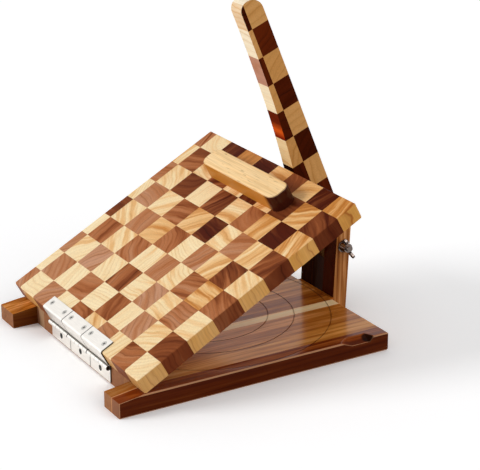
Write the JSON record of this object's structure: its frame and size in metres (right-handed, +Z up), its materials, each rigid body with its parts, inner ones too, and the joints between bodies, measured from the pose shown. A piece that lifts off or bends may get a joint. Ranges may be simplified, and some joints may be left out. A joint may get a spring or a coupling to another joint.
{
  "type": "tortilla press",
  "caption": "Wooden tortilla press: a chequered end-grain plate hinged to a ringed base board, pressed shut by a chequered lever that pivots between two uprights.",
  "frame": {"origin": "middle of the base's underside", "axes": "+X to the right-hand side, where the wing nut is; +Y from the hinges to the uprights; +Z up from the table"},
  "size_m": [0.2578, 0.3098, 0.3171],
  "materials": {
    "dark_strip": "varnished heartwood, dark red-brown, glued strip",
    "brown_strip": "varnished heartwood, mid brown with gold streaks, glued strip",
    "gold_strip": "varnished golden-brown hardwood, glued strip",
    "sapwood_strip": "varnished pale sapwood, glued strip",
    "light_block": "oiled pale end-grain block",
    "dark_block": "oiled dark red-brown end-grain block",
    "bar_wood": "varnished pale hardwood",
    "upright_wood": "varnished brown hardwood",
    "hinge_steel": "satin stainless sheet",
    "screw_steel": "bright zinc-plated wood screw",
    "bolt_chrome": "polished plated steel"
  },
  "bodies": {
    "base": {"base_strip_1": "dark_strip", "base_strip_2": "brown_strip", "base_strip_3": "sapwood_strip", "base_strip_4": "brown_strip", "base_strip_5": "brown_strip", "base_strip_6": "brown_strip", "base_strip_7": "sapwood_strip", "base_strip_8": "dark_strip", "base_strip_9": "gold_strip", "base_strip_10": "dark_strip", "lower_leaf_1": "hinge_steel", "lower_leaf_2": "hinge_steel", "lower_leaf_3": "hinge_steel", "lower_leaf_screws": "screw_steel", "hinge_pin_1": "screw_steel", "hinge_pin_2": "screw_steel", "hinge_pin_3": "screw_steel", "packing_strip": "gold_strip", "upright_right": "upright_wood", "upright_left": "upright_wood", "upright_screws": "screw_steel", "pivot_bolt": "bolt_chrome", "washer_right": "bolt_chrome", "washer_left": "bolt_chrome"},
    "plate": {"plate_light_blocks": "light_block", "plate_dark_blocks": "dark_block", "press_bar": "bar_wood", "press_bar_screws": "screw_steel", "upper_leaf_1": "hinge_steel", "upper_leaf_2": "hinge_steel", "upper_leaf_3": "hinge_steel", "upper_leaf_screws": "screw_steel"},
    "lever": {"lever_light_blocks": "light_block", "lever_dark_blocks": "dark_block"},
    "wing_nut": {"wing_nut": "bolt_chrome"}
  },
  "joints": [
    {"name": "plate_hinge", "type": "hinge", "parent": "base", "child": "plate", "pos_m": [0, -0.117, 0.0164], "axis": [1, 0, 0], "range_deg": [-28.4, 73]},
    {"name": "lever_pivot", "type": "hinge", "parent": "base", "child": "lever", "pos_m": [0, 0.1545, 0.069], "axis": [-1, 0, 0], "range_deg": [0, 120]},
    {"name": "wing_nut_turn", "type": "hinge", "parent": "base", "child": "wing_nut", "pos_m": [0.034, 0.1545, 0.069], "axis": [1, 0, 0], "continuous": true}
  ]
}
